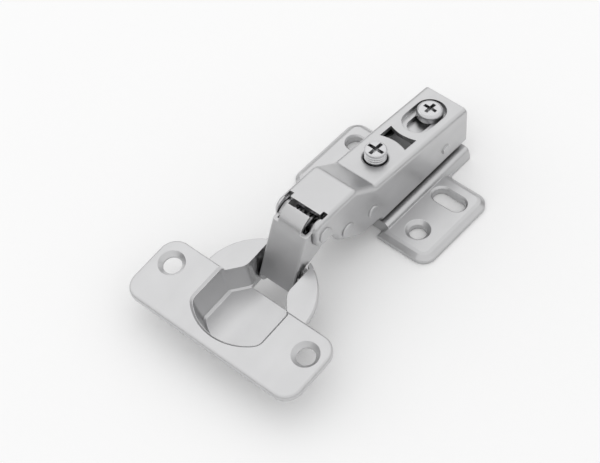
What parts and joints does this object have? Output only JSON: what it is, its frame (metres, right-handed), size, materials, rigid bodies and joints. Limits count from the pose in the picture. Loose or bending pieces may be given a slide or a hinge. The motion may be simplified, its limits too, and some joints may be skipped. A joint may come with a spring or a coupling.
{
  "type": "cranked concealed cabinet hinge",
  "caption": "Cranked slide-on concealed cabinet hinge with a drilled-in cup, a channel arm on two links and a pressed mounting plate, shown fully open",
  "frame": {"origin": "midway between the two round screw holes of the mounting plate, on the face that lies against the cabinet side", "axes": "+Z out of the cabinet side, +Y along the arm towards the back of the cabinet, +X across the arm"},
  "size_m": [0.06, 0.1038, 0.0287],
  "materials": {
    "mounting_plate": "nickel-plated pressed steel, satin",
    "hinge_arm": "nickel-plated pressed steel, satin",
    "outer_link": "nickel-plated pressed steel, satin",
    "inner_link": "nickel-plated pressed steel, satin",
    "hinge_cup": "nickel-plated pressed steel, satin",
    "arm_front_pin": "nickel-plated pressed steel, satin",
    "arm_rear_pin": "nickel-plated pressed steel, satin",
    "spring_pin": "nickel-plated pressed steel, satin",
    "cup_pin": "nickel-plated pressed steel, satin",
    "closing_spring": "drawn spring wire, satin",
    "adjusting_screw": "zinc-plated, satin",
    "fixing_screw": "zinc-plated, satin"
  },
  "bodies": {
    "plate": {"mounting_plate": "mounting_plate"},
    "arm": {"hinge_arm": "hinge_arm", "arm_front_pin": "arm_front_pin", "arm_rear_pin": "arm_rear_pin", "spring_pin": "spring_pin", "closing_spring": "closing_spring"},
    "overlay_screw": {"adjusting_screw": "adjusting_screw"},
    "depth_screw": {"fixing_screw": "fixing_screw"},
    "front_link": {"outer_link": "outer_link"},
    "rear_link": {"inner_link": "inner_link"},
    "cup": {"hinge_cup": "hinge_cup", "cup_pin": "cup_pin"}
  },
  "joints": [
    {"name": "depth_slide", "type": "slide", "parent": "plate", "child": "arm", "axis": [0, 0.9962, -0.0872], "range_m": [-0.0008, 0.006]},
    {"name": "fixing_screw_turn", "type": "hinge", "parent": "plate", "child": "depth_screw", "pos_m": [0, 0.0255, 0.0193], "axis": [0, 0.0872, 0.9962], "range_deg": [0, 1080]},
    {"name": "adjusting_screw_turn", "type": "hinge", "parent": "arm", "child": "overlay_screw", "pos_m": [0, 0.0011, 0.02144], "axis": [0, 0.0872, 0.9962], "range_deg": [-720, 720]},
    {"name": "outer_link_swing", "type": "hinge", "parent": "arm", "child": "front_link", "pos_m": [0, -0.0292, 0.0225], "axis": [1, 0, 0], "range_deg": [0, 8.14]},
    {"name": "inner_link_swing", "type": "hinge", "parent": "arm", "child": "rear_link", "pos_m": [0, -0.0201, 0.0156], "axis": [1, 0, 0], "range_deg": [0, 30.19]},
    {"name": "cup_fold", "type": "hinge", "parent": "front_link", "child": "cup", "pos_m": [0, -0.03945, 0.00698], "axis": [-1, 0, 0], "range_deg": [0, 106.01]}
  ],
  "couplings": [
    {"joint": "outer_link_swing", "follows": "cup_fold", "ratio": 0.076785},
    {"joint": "inner_link_swing", "follows": "cup_fold", "ratio": 0.28478}
  ]
}
